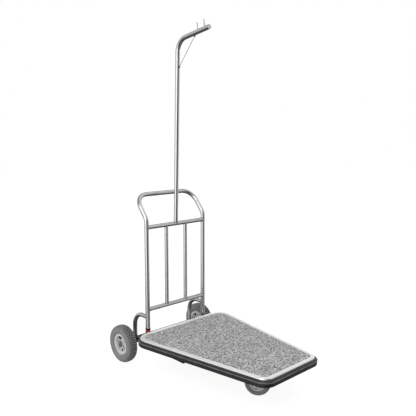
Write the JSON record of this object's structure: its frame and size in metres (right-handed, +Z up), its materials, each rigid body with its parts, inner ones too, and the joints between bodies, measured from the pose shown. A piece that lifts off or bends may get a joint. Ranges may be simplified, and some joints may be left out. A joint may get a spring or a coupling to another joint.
{
  "type": "hotel luggage cart",
  "caption": "Hotel luggage cart with a tapered carpeted platform, a tubular push frame, a tall garment pole, large rear wheels and a front caster.",
  "frame": {"origin": "on the floor at the middle of the cart's footprint", "axes": "+Z up, +Y towards the push bar and rear wheels, +X to the right of a person pushing towards the narrow front end"},
  "size_m": [0.6622, 1.0936, 1.8499],
  "materials": {
    "stainless_tube": "satin",
    "stainless_rod": "satin",
    "rivet_steel": "satin",
    "red_band": "gloss",
    "black_band": "matte",
    "black_steel": "semi-gloss",
    "plywood": "matte",
    "carpet_pile": "matte",
    "trim_metal": "satin",
    "bumper_rubber": "matte",
    "plated_steel": "satin",
    "bearing_steel": "gloss",
    "black_plastic": "matte",
    "wheel_tyre": "matte",
    "tube_rubber": "matte",
    "rim_paint": "gloss",
    "caster_hub": "satin"
  },
  "bodies": {
    "cart_frame": {"handle_frame": "stainless_tube", "upper_crossbar": "stainless_tube", "lower_crossbar": "stainless_tube", "ladder_bar_left": "stainless_tube", "ladder_bar_right": "stainless_tube", "garment_pole": "stainless_tube", "pole_end_plug": "stainless_rod", "hanger_pins": "stainless_rod", "stay_rod": "stainless_rod", "stay_anchors": "rivet_steel", "axle_bracket_left": "stainless_tube", "axle_bracket_right": "stainless_tube", "foot_band": "red_band", "foot_band_rings": "black_band", "rear_cross_tube": "black_steel", "chassis_rail_left": "black_steel", "chassis_rail_right": "black_steel", "rear_cross_member": "black_steel", "middle_cross_member": "black_steel", "front_cross_member": "black_steel", "deck_frame": "black_steel", "deck_board": "plywood", "carpet": "carpet_pile", "deck_trim": "trim_metal", "bumper": "bumper_rubber", "deck_screws": "plated_steel", "axle_beam": "black_steel", "beam_plugs": "black_plastic", "rear_axle": "plated_steel", "axle_spacers": "plated_steel", "axle_washers": "plated_steel", "axle_nuts": "plated_steel", "caster_mount_plate": "black_steel", "caster_top_plate": "plated_steel", "caster_plate_bolts": "plated_steel", "swivel_race": "plated_steel", "swivel_balls": "bearing_steel", "kingpin": "plated_steel", "kingpin_nut": "plated_steel"},
    "rear_wheel_left": {"rear_tyre_left": "wheel_tyre", "inner_tube_left": "tube_rubber", "rim_outer_left": "rim_paint", "rim_inner_left": "rim_paint", "rim_bolts_left": "plated_steel", "wheel_bearings_left": "bearing_steel", "valve_left": "tube_rubber"},
    "rear_wheel_right": {"rear_tyre_right": "wheel_tyre", "inner_tube_right": "tube_rubber", "rim_outer_right": "rim_paint", "rim_inner_right": "rim_paint", "rim_bolts_right": "plated_steel", "wheel_bearings_right": "bearing_steel", "valve_right": "tube_rubber"},
    "caster_swivel": {"caster_fork": "plated_steel", "caster_axle": "plated_steel", "caster_axle_nut": "plated_steel", "caster_spacers": "plated_steel"},
    "caster_wheel": {"caster_bearings": "bearing_steel", "caster_rim": "caster_hub", "caster_tyre": "wheel_tyre"}
  },
  "joints": [
    {"name": "rear_wheel_left_spin", "type": "hinge", "parent": "cart_frame", "child": "rear_wheel_left", "pos_m": [-0.287, 0.44175, 0.105], "axis": [1, 0, 0], "continuous": true},
    {"name": "rear_wheel_right_spin", "type": "hinge", "parent": "cart_frame", "child": "rear_wheel_right", "pos_m": [0.287, 0.44175, 0.105], "axis": [1, 0, 0], "continuous": true},
    {"name": "caster_turn", "type": "hinge", "parent": "cart_frame", "child": "caster_swivel", "pos_m": [0, -0.37625, 0.1563], "axis": [0, 0, 1], "continuous": true},
    {"name": "caster_wheel_spin", "type": "hinge", "parent": "caster_swivel", "child": "caster_wheel", "pos_m": [-0.02821, -0.33742, 0.065], "axis": [0.809, 0.5878, 0], "continuous": true}
  ]
}
